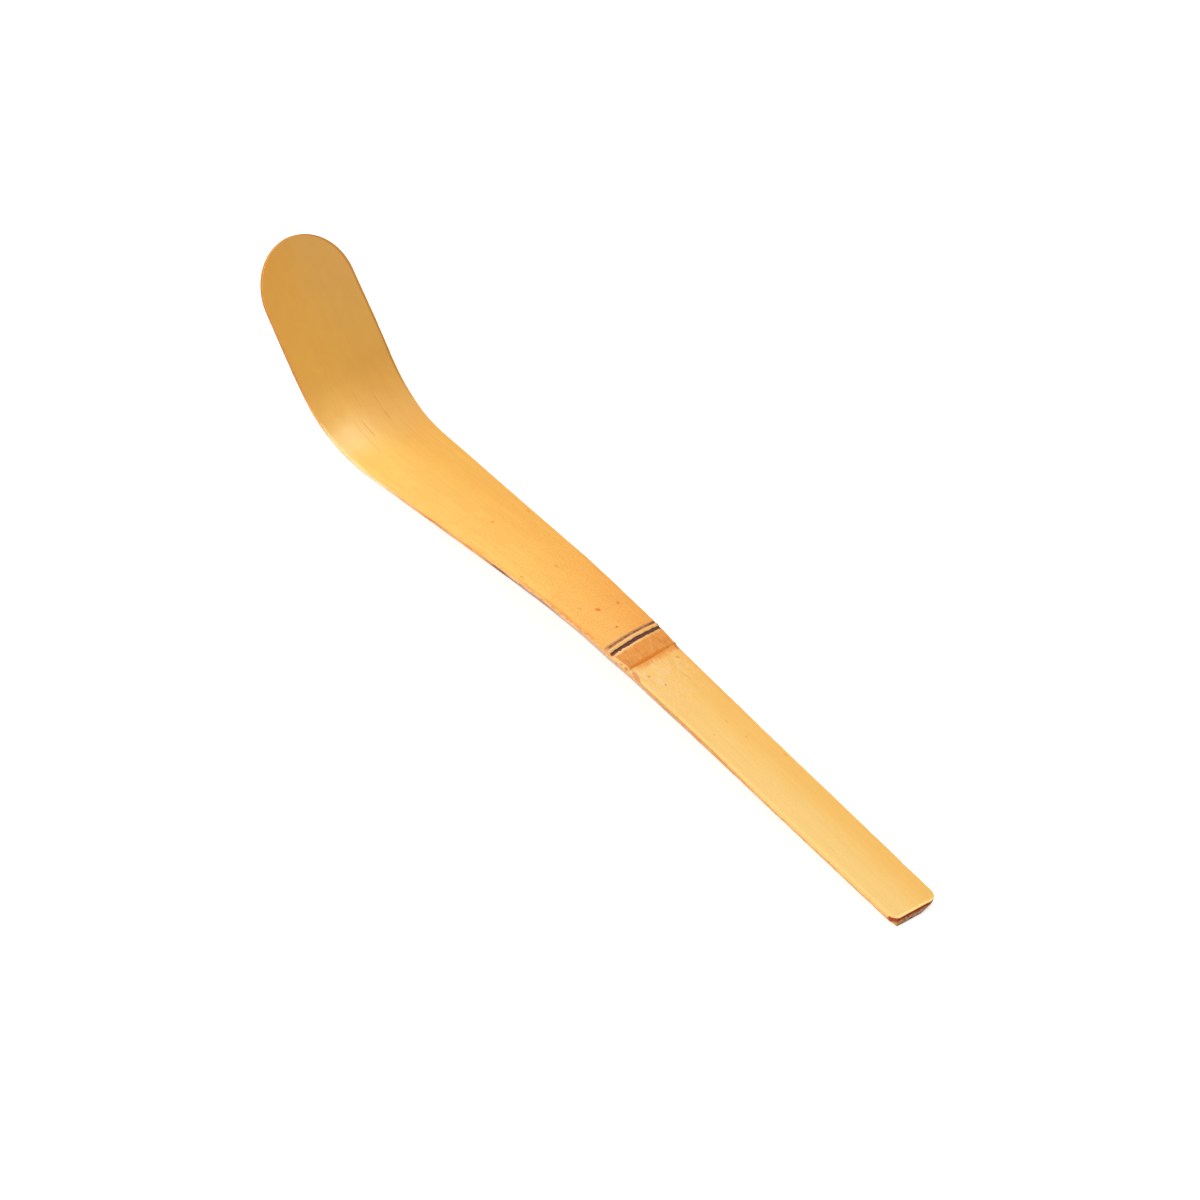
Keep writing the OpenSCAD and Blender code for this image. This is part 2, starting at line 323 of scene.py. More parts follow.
def rough(s, y, pitch_s, pitch_y, seed):
    """Noise of two sizes over the strip, with the given pitch along and across."""
    u, v = s / pitch_s, y / pitch_y
    return (2 * lattice_noise(u, v, seed) + lattice_noise(2 * u, 2 * v, seed + 1)) / 3


def near(s, station, reach):
    """1 at a station, falling to 0 over about twice the reach."""
    return np.exp(-(((s - station) / reach) ** 2))


def ragged(s, y):
    """Stations near the node's borders, moved a little so that the borders run unevenly across."""
    slant, bow, narrowing = 0.03 * y, 0.006 / MM * y**2, 0.19 * MM
    moved = s - slant * near(s, STEP_S, MM)
    moved -= bow * near(s, RIDGE_S, 2 * MM)
    moved -= narrowing * near(s, (RING_S + BOW_S) / 2, 0.7 * MM)
    for border, reach, pitch, seed in (
        (STEP_S, 0.09 * MM, 0.9 * MM, 11),
        (SCAR_S, 0.09 * MM, 0.5 * MM, 12),
        (RIDGE_S, 0.08 * MM, 0.45 * MM, 13),
        (RING_S, 0.03 * MM, 0.8 * MM, 14),
        (BOW_S, 0.05 * MM, 0.7 * MM, 15),
    ):
        moved += reach * near(s, border, 0.35 * MM) * rough(np.zeros_like(y), y, MM, pitch, seed)
    return moved


def edge_wander(s, side):
    """How far the blade strayed along one edge."""
    row = np.full_like(s, side * MM)
    track = rough(s, row, 2.6 * MM, MM, 21) + 0.5 * rough(s, row, 0.7 * MM, MM, 22)
    depth = np.where(s < STEP_S, 0.22 - 0.08 * side, 0.1) * MM
    nick = np.clip(rough(s, row, 0.9 * MM, MM, 24) - 0.35, 0, 0.3) * depth
    fade = np.clip(s / (4 * MM), 0, 1) * np.clip((ROUND_S - s) / (6 * MM), 0, 1)
    return (0.035 * MM * track - nick) * fade


# Grids of stations and places across


def steps(*stretches):
    """Stations over stretches given as (start, end, pitch), with every end included once."""
    runs = [np.linspace(a, b, max(1, round((b - a) / pitch)), endpoint=False) for a, b, pitch in stretches]
    return np.concatenate([*runs, [stretches[-1][1]]])


BUTT_STEPS = RIGHT_CORNER_R * (1 - np.cos(np.linspace(0, math.pi / 2, 14)))
TIP_STEPS = ROUND_S + TIP_LEN * np.sin(np.radians([*range(3, 60, 3), *range(60, 88, 2), 88, 89]))
EDGE_STEPS = np.linspace(0, 1, 5)
EDGE_SHARE = 0.4


def grid(s, columns, left_edge=None):
    """Stations, places across and the fall at the rounded edges, for a face with the given columns.

    A left edge of its own is a function of s that gives how far in it starts and how far it falls.
    It is flat, and the others are round.
    """
    s = np.asarray(s)[:, None]
    sides = []
    left_half = half_width(s, 0) - LEFT_CUT_W * np.clip(1 - s / LEFT_CUT_LEN, 0, 1)
    right_half = half_width(s, RIGHT_CORNER_R)
    t = EDGE_STEPS[None, 1:]
    for side, edge, half in ((-1, left_edge, left_half), (1, None, right_half)):
        width, fall = edge(s) if edge else (np.full_like(s, BEVEL), np.full_like(s, BEVEL))
        width = np.minimum(width, half * EDGE_SHARE)
        out = t if edge else np.sin(t * math.pi / 2)
        down = t if edge else 1 - np.cos(t * math.pi / 2)
        wander = edge_wander(s, side) + spread(s, side < 0)
        sides.append((half + wander - width, side * (half + wander - width * (1 - out)), fall * down))
    (left_in, left_y, left_fall), (right_in, right_y, right_fall) = sides
    share = np.linspace(0, 1, columns)[None]
    middle = -left_in + (left_in + right_in) * share
    y = np.concatenate([left_y[:, ::-1], middle, right_y], 1)
    fall = np.concatenate([left_fall[:, ::-1], np.zeros_like(middle), right_fall], 1)
    return np.broadcast_to(s, y.shape).copy(), y, fall


# Meshes


def cells(numbers):
    """Four-sided faces over a grid of point numbers."""
    corners = numbers[:-1, :-1], numbers[1:, :-1], numbers[1:, 1:], numbers[:-1, 1:]
    return np.stack(corners, -1).reshape(-1, 4)


def slab(name, s, y, top, under, layers, finishes, end_relief=None):
    """Closed solid between two faces over a grid. Its finishes are for top, underside, sides and ends."""
    share = np.linspace(0, 1, layers + 1)[:, None, None]
    height = top + (under - top) * share
    s, y = (np.broadcast_to(a, height.shape).copy() for a in (s, y))
    if end_relief:
        s[:, 0, 1:-1] += end_relief(y[:, 0, 1:-1], height[:, 0, 1:-1])
    shell = np.zeros(height.shape, bool)
    shell[[0, -1]] = shell[:, [0, -1]] = shell[:, :, [0, -1]] = True
    numbers = np.cumsum(shell).reshape(shell.shape) - 1
    walls = [
        [numbers[0]],
        [numbers[-1]],
        [numbers[:, :, 0], numbers[:, :, -1]],
        [numbers[:, 0], numbers[:, -1]],
    ]
    faces = [np.concatenate([cells(w) for w in wall]) for wall in walls]
    kinds = np.concatenate([np.full(len(f), kind) for kind, f in enumerate(faces)])
    s, y, height = s[shell], y[shell], height[shell]
    mesh = bpy.data.meshes.new(name)
    mesh.from_pydata(place(ragged(s, y), y, height).tolist(), [], np.concatenate(faces).tolist())
    for finish in finishes:
        mesh.materials.append(finish)
    mesh.polygons.foreach_set("material_index", kinds)
    half = half_width(s)
    write_points(mesh, "strip", s, y, height)
    write_points(mesh, "rim", half + y, half - y, y)
    return finished_object(name, mesh)


def write_points(mesh, name, *values):
    """Stores three lengths at each point, in millimetres, for the finishes."""
    layer = mesh.attributes.new(name, "FLOAT_VECTOR", "POINT")
    layer.data.foreach_set("vector", (np.stack(values, -1) / MM).astype(np.float32).ravel())


def finished_object(name, mesh):
    """Object with outward faces, smooth except at its sharp edges."""
    sharp = math.radians(38)
    shape = bmesh.new()
    shape.from_mesh(mesh)
    bmesh.ops.recalc_face_normals(shape, faces=shape.faces)
    for face in shape.faces:
        face.smooth = True
    for edge in shape.edges:
        edge.smooth = edge.calc_face_angle(0) < sharp
    shape.to_mesh(mesh)
    shape.free()
    piece = bpy.data.objects.new(name, mesh)
    bpy.context.scene.collection.objects.link(piece)
    return piece


# Finishes: noises, marks and stations follow the strip, in millimetres along, across and up


def colour(code):
    """Linear colour of a code such as F4CB84."""
    parts = [int(code[i:i + 2], 16) / 255 for i in (0, 2, 4)]
    return (*(p / 12.92 if p < 0.04045 else ((p + 0.055) / 1.055) ** 2.4 for p in parts), 1)


class Finish:
    """A procedural material and the calls that add nodes to it. The functions below call theirs f."""

    def __init__(self, name, roughness, specular=0.5):
        self.material = bpy.data.materials.new(name)
        self.material.use_nodes = True
        self.nodes = self.material.node_tree.nodes
        self.links = self.material.node_tree.links
        self.shader = self.nodes["Principled BSDF"]
        self.shader.inputs["Roughness"].default_value = roughness
        self.shader.inputs["Specular IOR Level"].default_value = specular
        self.strip = self.add("ShaderNodeAttribute", attribute_name="strip").outputs["Vector"]
        self.rim = self.add("ShaderNodeAttribute", attribute_name="rim").outputs["Vector"]
        self.s, self.y, self.up = self.parts(self.strip)
        self.left, self.right, _ = self.parts(self.rim)

    def add(self, kind, **settings):
        """A new node with its settings."""
        node = self.nodes.new(kind)
        for key, value in settings.items():
            setattr(node, key, value)
        return node

    def feed(self, socket, value):
        """Links a socket to another node's output, or sets it to a plain value."""
        if isinstance(value, bpy.types.NodeSocket):
            self.links.new(value, socket)
        else:
            socket.default_value = value

    def parts(self, vector):
        """The three numbers of a vector."""
        node = self.add("ShaderNodeSeparateXYZ")
        self.feed(node.inputs[0], vector)
        return node.outputs

    def calc(self, operation, *values):
        """The result of a maths node."""
        node = self.add("ShaderNodeMath", operation=operation)
        for socket, value in zip(node.inputs, values):
            self.feed(socket, value)
        return node.outputs[0]

    def noise(self, size, detail, seed):
        """Noise from 0 to 1 with features of the given size along, across and up."""
        scaled = self.add("ShaderNodeVectorMath", operation="MULTIPLY_ADD")
        self.feed(scaled.inputs[0], self.strip)
        scaled.inputs[1].default_value = [1 / length for length in size]
        scaled.inputs[2].default_value = (seed * 7.3, seed * 3.1, seed * 5.7)
        node = self.add("ShaderNodeTexNoise")
        self.feed(node.inputs["Vector"], scaled.outputs[0])
        node.inputs["Scale"].default_value = 1
        node.inputs["Detail"].default_value = detail
        node.inputs["Roughness"].default_value = 0.5
        return node.outputs["Fac"]

    def between(self, value, low, high, soft=True):
        """0 where value is at low, 1 where it is at high."""
        node = self.add("ShaderNodeMapRange", interpolation_type="SMOOTHSTEP" if soft else "LINEAR")
        for socket, number in zip(node.inputs, (value, low, high)):
            self.feed(socket, number)
        return node.outputs[0]

    def stray(self, value, reach, size, detail, seed):
        """The value with noise between -reach and reach added."""
        noise = self.noise(size, detail, seed)
        return self.calc("ADD", value, self.calc("MULTIPLY_ADD", noise, 2 * reach, -reach))

    def within(self, value, low, full, fading, high):
        """0 below low and above high, 1 from full to fading."""
        return self.product(self.between(value, low, full), self.between(value, high, fading))

    def mix(self, share, low, high, kind="MIX"):
        """The colour from low at share 0 to high at share 1, or the blend of another kind."""
        node = self.add("ShaderNodeMix", data_type="RGBA", blend_type=kind, clamp_factor=True)
        self.feed(node.inputs["Factor"], share)
        self.feed(node.inputs[6], low)
        self.feed(node.inputs[7], high)
        return node.outputs[2]

    def tint(self, base, share, code, amount=1):
        """The base with another colour laid over it, by a share from 0 to 1 times an amount."""
        if amount != 1:
            share = self.calc("MULTIPLY", share, amount)
        return self.mix(share, base, colour(code))

    def product(self, *values):
        """The values multiplied together."""
        total = values[0]
        for value in values[1:]:
            total = self.calc("MULTIPLY", total, value)
        return total

    def along(self, value, *stops):
        """Colour that changes with a value over stops given as (value, colour code)."""
        first, last = stops[0][0], stops[-1][0]
        ramp = self.add("ShaderNodeValToRGB")
        elements = ramp.color_ramp.elements
        while len(elements) < len(stops):
            elements.new(0.5)
        for element, (at, code) in zip(elements, stops):
            element.position = (at - first) / (last - first)
            element.color = colour(code)
        self.feed(ramp.inputs[0], self.between(value, first, last, soft=False))
        return ramp.outputs[0]

    def streaks(self, base, strength, across, seed):
        """Fine lengthwise fibres, darker and lighter than the base."""
        fine = self.between(self.noise((14, across, 1), 4, seed), 0.3, 0.7)
        broad = self.between(self.noise((30, across * 6, 3), 2, seed + 1), 0.3, 0.7)
        tone = self.calc("ADD", self.calc("MULTIPLY", fine, 0.6), self.calc("MULTIPLY", broad, 0.4))
        value = self.calc("MULTIPLY_ADD", self.calc("MULTIPLY_ADD", tone, 2, -1), strength, 1)
        grey = self.add("ShaderNodeCombineColor")
        for socket in grey.inputs[:3]:
            self.feed(socket, value)
        return self.mix(1, base, grey.outputs[0], "MULTIPLY")

    def spot(self, at, size, turn=0.0):
        """1 in a small oval mark around a station and place across, with an uneven edge."""
        flat = self.add("ShaderNodeVectorMath", operation="SUBTRACT")
        self.feed(flat.inputs[0], self.strip)
        flat.inputs[1].default_value = (at[0], at[1], 0)
        spin = self.add("ShaderNodeVectorRotate", rotation_type="Z_AXIS")
        self.feed(spin.inputs["Vector"], flat.outputs[0])
        spin.inputs["Angle"].default_value = turn
        squeezed = self.add("ShaderNodeVectorMath", operation="MULTIPLY")
        self.feed(squeezed.inputs[0], spin.outputs[0])
        squeezed.inputs[1].default_value = (2 / size[0], 2 / size[1], 0)
        far = self.add("ShaderNodeVectorMath", operation="LENGTH")
        self.feed(far.inputs[0], squeezed.outputs[0])
        uneven = self.stray(far.outputs["Value"], 0.45, (0.25, 0.15, 1), 2, at[0])
        return self.between(uneven, 1.25, 0.45)

    def hairline(self, start, end, width, seed):
        """1 along a hairline between two places on the strip, given as (s, y)."""
        (s0, y0), (s1, y1) = start, end
        slope = (y1 - y0) / (s1 - s0)
        line = self.calc("MULTIPLY_ADD", self.s, slope, y0 - slope * s0)
        path = self.stray(line, 0.12, (2.2, 50, 50), 2, seed)
        off = self.calc("ABSOLUTE", self.calc("SUBTRACT", self.y, path))
        across = self.between(off, width, width * 0.2)
        fade = abs(s1 - s0) * 0.3
        low, high = min(s0, s1), max(s0, s1)
        return self.product(across, self.within(self.s, low, low + fade, high - fade, high))

    def finish(self, base, *heights):
        """Joins the base colour and the bumps, given as (height, distance in metres)."""
        self.feed(self.shader.inputs["Base Color"], base)
        normal = None
        for height, distance in heights:
            bump = self.add("ShaderNodeBump")
            bump.inputs["Strength"].default_value = 1
            bump.inputs["Distance"].default_value = distance
            self.feed(bump.inputs["Height"], height)
            if normal:
                self.feed(bump.inputs["Normal"], normal)
            normal = bump.outputs[0]
        if normal:
            self.feed(self.shader.inputs["Normal"], normal)
        return self.material


# The same stations in millimetres, as the finishes read them
AT_STEP, AT_SCAR, AT_RING, AT_SKIN = (station / MM for station in (STEP_S, SCAR_S, RING_S, BOW_S))


def painted_bend_highlight(f):
    """1 over the bend, where the cut edges are painted pale as a highlight."""
    return f.within(f.s, 126, 132, 145, 149)


def handle_face():
    """Planed wood of the handle: pale on the left, warmer on the right, scraped and painted with shade
    below the step, with painted highlights and shade along its edges.
    """
    f = Finish("planed_wood", 0.5, specular=0.22)
    turn = f.stray(f.y, 1.2, (6, 2, 9), 4, 1)
    base = f.mix(f.between(turn, -2.2, 3.2), colour("F8CC77"), colour("F6BE5D"))
    warm = f.between(f.s, 20, 62)
    base = f.tint(base, warm, "F6BC61", 0.3)
    # Painted highlight: a brighter yellow band just inside the left edge, where the rounded edge catches
    # the light
    edge = f.within(f.left, 0.1, 0.25, 0.4, 0.75)
    base = f.tint(base, edge, "FFDD84", 0.6)
    base = f.streaks(base, 0.035, 0.3, 2)
    pale = f.product(f.between(f.s, 54, 64), f.between(f.noise((1.6, 0.9, 1), 4, 4), 0.42, 0.62))
    base = f.tint(base, pale, "FAD09A", 0.4)
    blush = f.product(f.between(f.s, 48, 66), f.between(f.noise((0.9, 0.4, 1), 3, 6), 0.6, 0.72))
    base = f.tint(base, blush, "EE9C55", 0.5)
    pores = f.between(f.noise((0.4, 0.2, 1), 3, 13), 0.5, 0.7)
    pores = f.product(pores, f.calc("MULTIPLY_ADD", f.between(f.s, 50, 64), 0.25, 0.15))
    base = f.tint(base, pores, "E69648")
    border = f.product(f.between(f.right, 1, 0.3), f.between(f.s, 44, 58))
    base = f.tint(base, border, "F2A448", 0.4)
    flecks = f.between(f.noise((0.7, 0.3, 1), 3, 7), 0.65, 0.75)
    base = f.tint(base, flecks, "E09A50", 0.3)
    # Painted shadow mixed with scraped patches, on the left just in front of the step
    shade_s = f.stray(f.s, 1.2, (0.9, 0.5, 1), 4, 8)
    shade = f.product(f.between(shade_s, AT_STEP - 1.7, AT_STEP - 0.3), f.between(f.y, -4.6, -2.6))
    base = f.tint(base, shade, "EA8E2A", 0.8)
    for at, size, turn, code, depth in (
        ((65.56, 3.52), (0.8, 0.45), 0.6, "D8641C", 0.5),
        ((65.11, -3.11), (0.9, 0.5), 0.3, "E8702C", 0.55),
        ((61.96, -2.02), (0.7, 0.4), -0.3, "E8803C", 0.55),
        ((49.61, 0.93), (0.8, 0.35), 0.1, "E08A3A", 0.4),
        ((45.11, 1.46), (0.8, 0.3), 0.0, "E08A3A", 0.4),
        ((48.56, -2.49), (0.6, 0.3), 0.2, "E08A3A", 0.4),
        ((38.3, 4.13), (1.1, 0.3), 0.0, "D87C2C", 0.4),
    ):
        base = f.tint(base, f.spot(at, size, turn), code, depth)
    smudge = f.spot((66.4, -4.75), (3.2, 0.9), -0.2)
    base = f.tint(base, smudge, "D2744C", 0.7)
    # Painted shadow: a dark wedge at the right edge just in front of the step, where the step's side throws
    # shade
    painted_shadow_wedge = f.product(f.between(f.right, 0.6, 0.4), f.between(f.s, AT_STEP - 1.4, AT_STEP - 0.9))
    base = f.tint(base, painted_shadow_wedge, "C66C12", 0.8)
    # Painted shade: an orange line just inside the left edge, where the top turns down into the side wall
    line = f.product(f.between(f.left, 0.16, 0.06), f.within(f.s, 40, 52, AT_STEP - 2, AT_STEP))
    base = f.tint(base, line, "EA8C44", 0.6)
    # Painted highlight: a pale yellow line along the butt end's top edge
    butt_highlight_s = f.calc("SUBTRACT", f.s, f.calc("MULTIPLY", f.noise((9, 0.8, 9), 3, 10), 0.5))
    base = f.tint(base, f.between(butt_highlight_s, 0.45, 0.1), "FFE68C", 0.85)
    side = f.calc("MAXIMUM", f.calc("MINIMUM", f.left, f.right), f.calc("SUBTRACT", f.s, 1.3))
    rim = f.calc("MINIMUM", f.s, side)
    base = f.tint(base, f.between(rim, 0.1, 0.03), "C8481E")
    grain, waves = f.noise((9, 0.18, 1), 5, 9), f.noise((3, 1.2, 1), 2, 12)
    return f.finish(base, (grain, 0.05 * MM), (waves, 0.08 * MM))


def side_face():
    """Side walls of the strip, cut along the fibres and left a little chipped."""
    f = Finish("split_side", 0.6, specular=0.3)
    base = f.along(f.noise((4, 1, 0.35), 4, 20), (0.3, "E08C46"), (0.5, "F0AA62"), (0.7, "FAC486"))
    pale = f.within(f.s, 58, 66, 92, 104)
    base = f.tint(base, pale, "FFCA84", 0.5)
    # Painted highlight: the side walls over the bend are painted pale
    base = f.tint(base, painted_bend_highlight(f), "FFE4AC", 0.8)
    flecks = f.between(f.noise((0.8, 1, 0.3), 4, 22), 0.56, 0.66)
    base = f.tint(base, flecks, "D0703C", 0.7)
    base = f.tint(base, f.between(f.s, 148, 158), "B8702C", 0.9)
    base = f.streaks(base, 0.08, 0.3, 23)
    low = f.stray(f.up, 0.6, (1.4, 5, 0.6), 4, 25)
    stain = f.product(f.within(f.s, 84, 90, 101, 108), f.between(f.y, -3, -4), f.between(low, -0.5, -0.85))
    base = f.tint(base, stain, "6A3B38", 0.85)
    # Painted contact shade: a grey line along the bottom of the side walls
    bottom = f.stray(f.up, 0.15, (2, 5, 1), 3, 24)
    grey = f.product(f.between(bottom, -0.72, -0.95), f.within(f.s, 44, 54, 94, 102))
    base = f.tint(base, grey, "C4ACB0", 0.7)
    wrap = f.between(f.calc("MULTIPLY_ADD", f.noise((0.5, 1, 0.5), 3, 26), 0.8, f.s), 2.2, 1.5)
    burnt = f.mix(f.between(f.up, -0.95, -0.7), colour("F2B26C"), colour("AC3C1A"))
    base = f.mix(f.calc("MULTIPLY", wrap, 0.85), base, burnt)
    grain, chips = f.noise((5, 1, 0.12), 4, 27), f.noise((0.8, 1, 0.5), 3, 28)
    return f.finish(base, (grain, 0.1 * MM), (chips, 0.05 * MM))


def inner_face():
    """Inside of the culm wall: pale, papery and lined along the fibres."""
    f = Finish("inner_culm_wall", 0.7)
    base = f.along(f.noise((18, 0.5, 9), 4, 30), (0.3, "D8A866"), (0.5, "E9C287"), (0.72, "F3D8A6"))
    base = f.streaks(base, 0.1, 0.22, 32)
    dark_cells = f.between(f.noise((7, 0.12, 1), 3, 34), 0.64, 0.74)
    base = f.tint(base, dark_cells, "A5713A", 0.35)
    near_node = f.within(f.s, AT_STEP - 3, AT_SCAR, AT_SCAR + 2, AT_SCAR + 8)
    base = f.tint(base, near_node, "C08A50", 0.5)
    grain, waves = f.noise((11, 0.14, 1), 5, 36), f.noise((2.5, 0.9, 1), 3, 38)
    return f.finish(base, (grain, 0.12 * MM), (waves, 0.08 * MM))


def end_face():
    """Cut end: dark dense fibres under the face, dotted with fibre bundles below."""
    f = Finish("end_grain", 0.9, specular=0.1)
    base = f.along(f.noise((1, 0.7, 0.5), 5, 40), (0.34, "B87C58"), (0.5, "F0B48C"), (0.66, "FFE0BC"))
    scaled = f.add("ShaderNodeVectorMath", operation="MULTIPLY")
    f.feed(scaled.inputs[0], f.strip)
    scaled.inputs[1].default_value = (0, 2.4, 3)
    bundles = f.add("ShaderNodeTexVoronoi")
    bundles.inputs["Scale"].default_value = 1
    f.feed(bundles.inputs["Vector"], scaled.outputs[0])
    dots = f.between(bundles.outputs["Distance"], 0.4, 0.18)
    base = f.tint(base, dots, "96603E", 0.45)
    uneven = f.stray(f.up, 0.25, (1, 0.6, 3), 3, 43)
    base = f.tint(base, f.between(uneven, -1.0, -0.5), "CC5C34")
    base = f.tint(base, f.between(uneven, -0.55, -0.3), "B43A20")
    tan = f.product(f.spot((0, -3.3), (9, 1.3)), f.between(f.up, -0.7, -1.1))
    base = f.tint(base, tan, "F0B868", 0.8)
    torn = f.noise((1, 0.12, 0.12), 3, 45)
    return f.finish(base, (bundles.outputs["Distance"], 0.1 * MM), (torn, 0.1 * MM))


def skin_face():
    """Smooth skin of the culm, honey-coloured and toasted where the heat bent it."""
    f = Finish("culm_skin", 0.4, specular=0.3)
    left = f.along(
        f.s, (74, "F8B657"), (84, "F8BC5A"), (95, "F7C05F"), (130, "F6C463"), (141, "F8C866"),
        (150, "FCC060"), (158, "F6B750"), (180, "EEAC4A"))
    right = f.along(
        f.s, (74, "F5A848"), (84, "F5AC4A"), (95, "F6B350"), (130, "EEB350"), (141, "E8AC50"),
        (150, "ECAF50"), (158, "F0B455"), (180, "EAB05C"))
    turn = f.stray(f.y, 1.5, (20, 3, 9), 3, 50)
    base = f.mix(f.between(turn, -5.5, 5), left, right)
    # Painted highlight: a pale yellow band just inside the left edge along the shaft and bend
    band = f.product(f.within(f.left, 0.15, 0.5, 0.7, 1.6), f.within(f.s, 84, 92, 138, 152))
    base = f.tint(base, band, "FFD070", 0.25)
    grain = f.calc("MULTIPLY_ADD", f.between(f.s, 140, 156), -0.02, 0.035)
    base = f.streaks(base, grain, 0.35, 52)
    mottle = f.between(f.noise((3, 1.4, 1), 4, 53), 0.35, 0.65)
    base = f.tint(base, mottle, "E89A3C", 0.14)
    worn = f.between(f.noise((3, 0.3, 1), 3, 51), 0.35, 0.6)
    warm_left = f.product(f.between(f.left, 0.42, 0.2), f.within(f.s, 75, 78, 94, 100), worn)
    base = f.tint(base, warm_left, "EC9040", 0.7)
    warm_right = f.product(f.within(f.right, 0.12, 0.22, 0.3, 0.6), f.between(f.s, 100, 92), worn)
    base = f.tint(base, warm_right, "EA8E38", 0.55)
    pores = f.product(f.between(f.noise((0.4, 0.2, 1), 3, 58), 0.5, 0.68), f.between(f.s, 140, 84))
    base = f.tint(base, pores, "DE8A3A", 0.5)
    rim = f.calc("MINIMUM", f.left, f.right)
    line = f.product(f.between(rim, 0.2, 0.08), f.between(f.s, 146, 156))
    base = f.tint(base, line, "F79A2C", 0.8)
    # Painted shade: a dark line inside the right rim over the bend, at the inner boundary of the rim's
    # bevel
    painted_rim_shade = f.product(f.within(f.right, 0.12, 0.22, 0.36, 0.62), f.between(f.s, 142, 152))
    base = f.tint(base, painted_rim_shade, "B06A1E", 0.55)
    lit = f.product(f.between(f.left, 0.3, 0.1), f.within(f.s, 134, 139, 146, 150))
    base = f.tint(base, lit, "FFF0A0", 0.8)
    for start, end, width, strength in (
        ((147.6, -3.5), (136.6, -3.4), 0.08, 0.35),
        ((146.2, -2.3), (141.3, -2.0), 0.1, 0.6),
        ((150.8, 2.75), (142.0, 2.1), 0.08, 0.35),
        ((145.6, 2.6), (142.8, 2.5), 0.09, 0.5),
        ((152.5, -0.6), (146.5, -0.9), 0.06, 0.25),
    ):
        crack = f.hairline(start, end, width, start[0])
        base = f.tint(base, crack, "B0580C", strength)
    for at, size, turn, code, depth in (
        ((81.56, -0.72), (1.2, 0.75), 0.6, "E0681A", 0.9),
        ((80.81, 2.93), (0.9, 0.6), -0.5, "D0661C", 0.6),
        ((83.71, -2.88), (1.1, 0.35), 0.3, "E07A2A", 0.6),
        ((76.51, -0.75), (0.6, 0.4), 0.2, "B8500C", 0.8),
        ((110.56, -0.55), (1, 0.35), 0.2, "E0802A", 0.7),
        ((94.36, 0.49), (1.1, 0.4), 0.2, "E0802A", 0.7),
        ((96.26, -5.4), (1.2, 0.3), 0.1, "D07A28", 0.6),
        ((108.96, 6.0), (0.9, 0.3), 0.1, "D07A28", 0.6),
    ):
        base = f.tint(base, f.spot(at, size, turn), code, depth)
    blurred = f.stray(f.s, 0.15, (0.2, 0.5, 1), 3, 59)
    base = f.tint(base, f.between(blurred, AT_SKIN + 0.32, AT_SKIN + 0.12), "A87850", 0.7)
    f.feed(f.shader.inputs["Roughness"], f.calc("MULTIPLY_ADD", f.between(f.y, -6, 2), 0.22, 0.36))
    grain, waves = f.noise((22, 0.3, 1), 4, 55), f.noise((5, 2.5, 3), 2, 57)
    return f.finish(base, (grain, 0.02 * MM), (waves, 0.04 * MM))


def skin_side():
    """Cut edge of the skin layer: cream with orange flecks near the node, orange around the bowl."""
    f = Finish("culm_skin_edge", 0.45, specular=0.3)
    base = f.along(f.noise((5, 1, 0.3), 4, 60), (0.3, "E79C48"), (0.5, "F8B45C"), (0.7, "FFD07C"))
    pale = f.between(f.s, 100, 88)
    base = f.tint(base, pale, "FFC87E", 0.65)
    # Painted highlight: the skin's cut edge over the bend is painted pale
    base = f.tint(base, painted_bend_highlight(f), "FFE4AC", 0.8)
    flecks = f.product(pale, f.between(f.noise((0.7, 1, 0.3), 4, 62), 0.52, 0.6))
    base = f.tint(base, flecks, "D8703C", 0.7)
    base = f.tint(base, f.between(f.s, 148, 158), "C07C30")
    cork = f.within(f.s, AT_SCAR, AT_SCAR + 0.1, AT_SCAR + 0.55, AT_SCAR + 0.65)
    base = f.tint(base, f.product(cork, f.between(f.y, 0, 1)), "5E3828")
    return f.finish(f.streaks(base, 0.06, 0.3, 61), (f.noise((6, 1, 0.1), 4, 63), 0.06 * MM))


def ring_face(name, codes, roughness, seed, pitch=(0.3, 0.5, 1)):
    """Finish of one of the node's rings and its colour, mottled between three."""
    f = Finish(name, roughness, specular=0.15)
    base = f.along(f.noise(pitch, 4, seed), (0.3, codes[0]), (0.5, codes[1]), (0.7, codes[2]))
    return f, base


def from_left(f, start, end, seed):
    """1 at the left edge, fading unevenly to 0 between two distances from it."""
    return f.between(f.stray(f.left, 0.25, (0.25, 0.2, 1), 3, seed), end, start)


def scar_face():
    """Corky scar: plum brown, greyer towards its right end."""
    f, base = ring_face("sheath_scar", ("4A2A22", "603C34", "765248"), 0.85, 72)
    base = f.tint(base, f.between(f.y, -0.5, 4.5), "664630")
    base = f.tint(base, from_left(f, 0.05, 0.35, 75), "A8481C")
    return f.finish(base, (f.noise((0.25, 0.3, 1), 4, 74), 0.08 * MM))


def thin_ring_face():
    """Thin grey-brown ring on the tip side of the ridge."""
    f, base = ring_face("thin_ring", ("84583A", "A67246", "CA9056"), 0.7, 76)
    base = f.tint(base, f.between(f.y, 3, 4.6), "8A5232")
    base = f.tint(base, from_left(f, 0.3, 0.75, 77), "F2AE62", 0.85)
    return f.finish(base, (f.noise((0.3, 0.4, 1), 3, 78), 0.04 * MM))


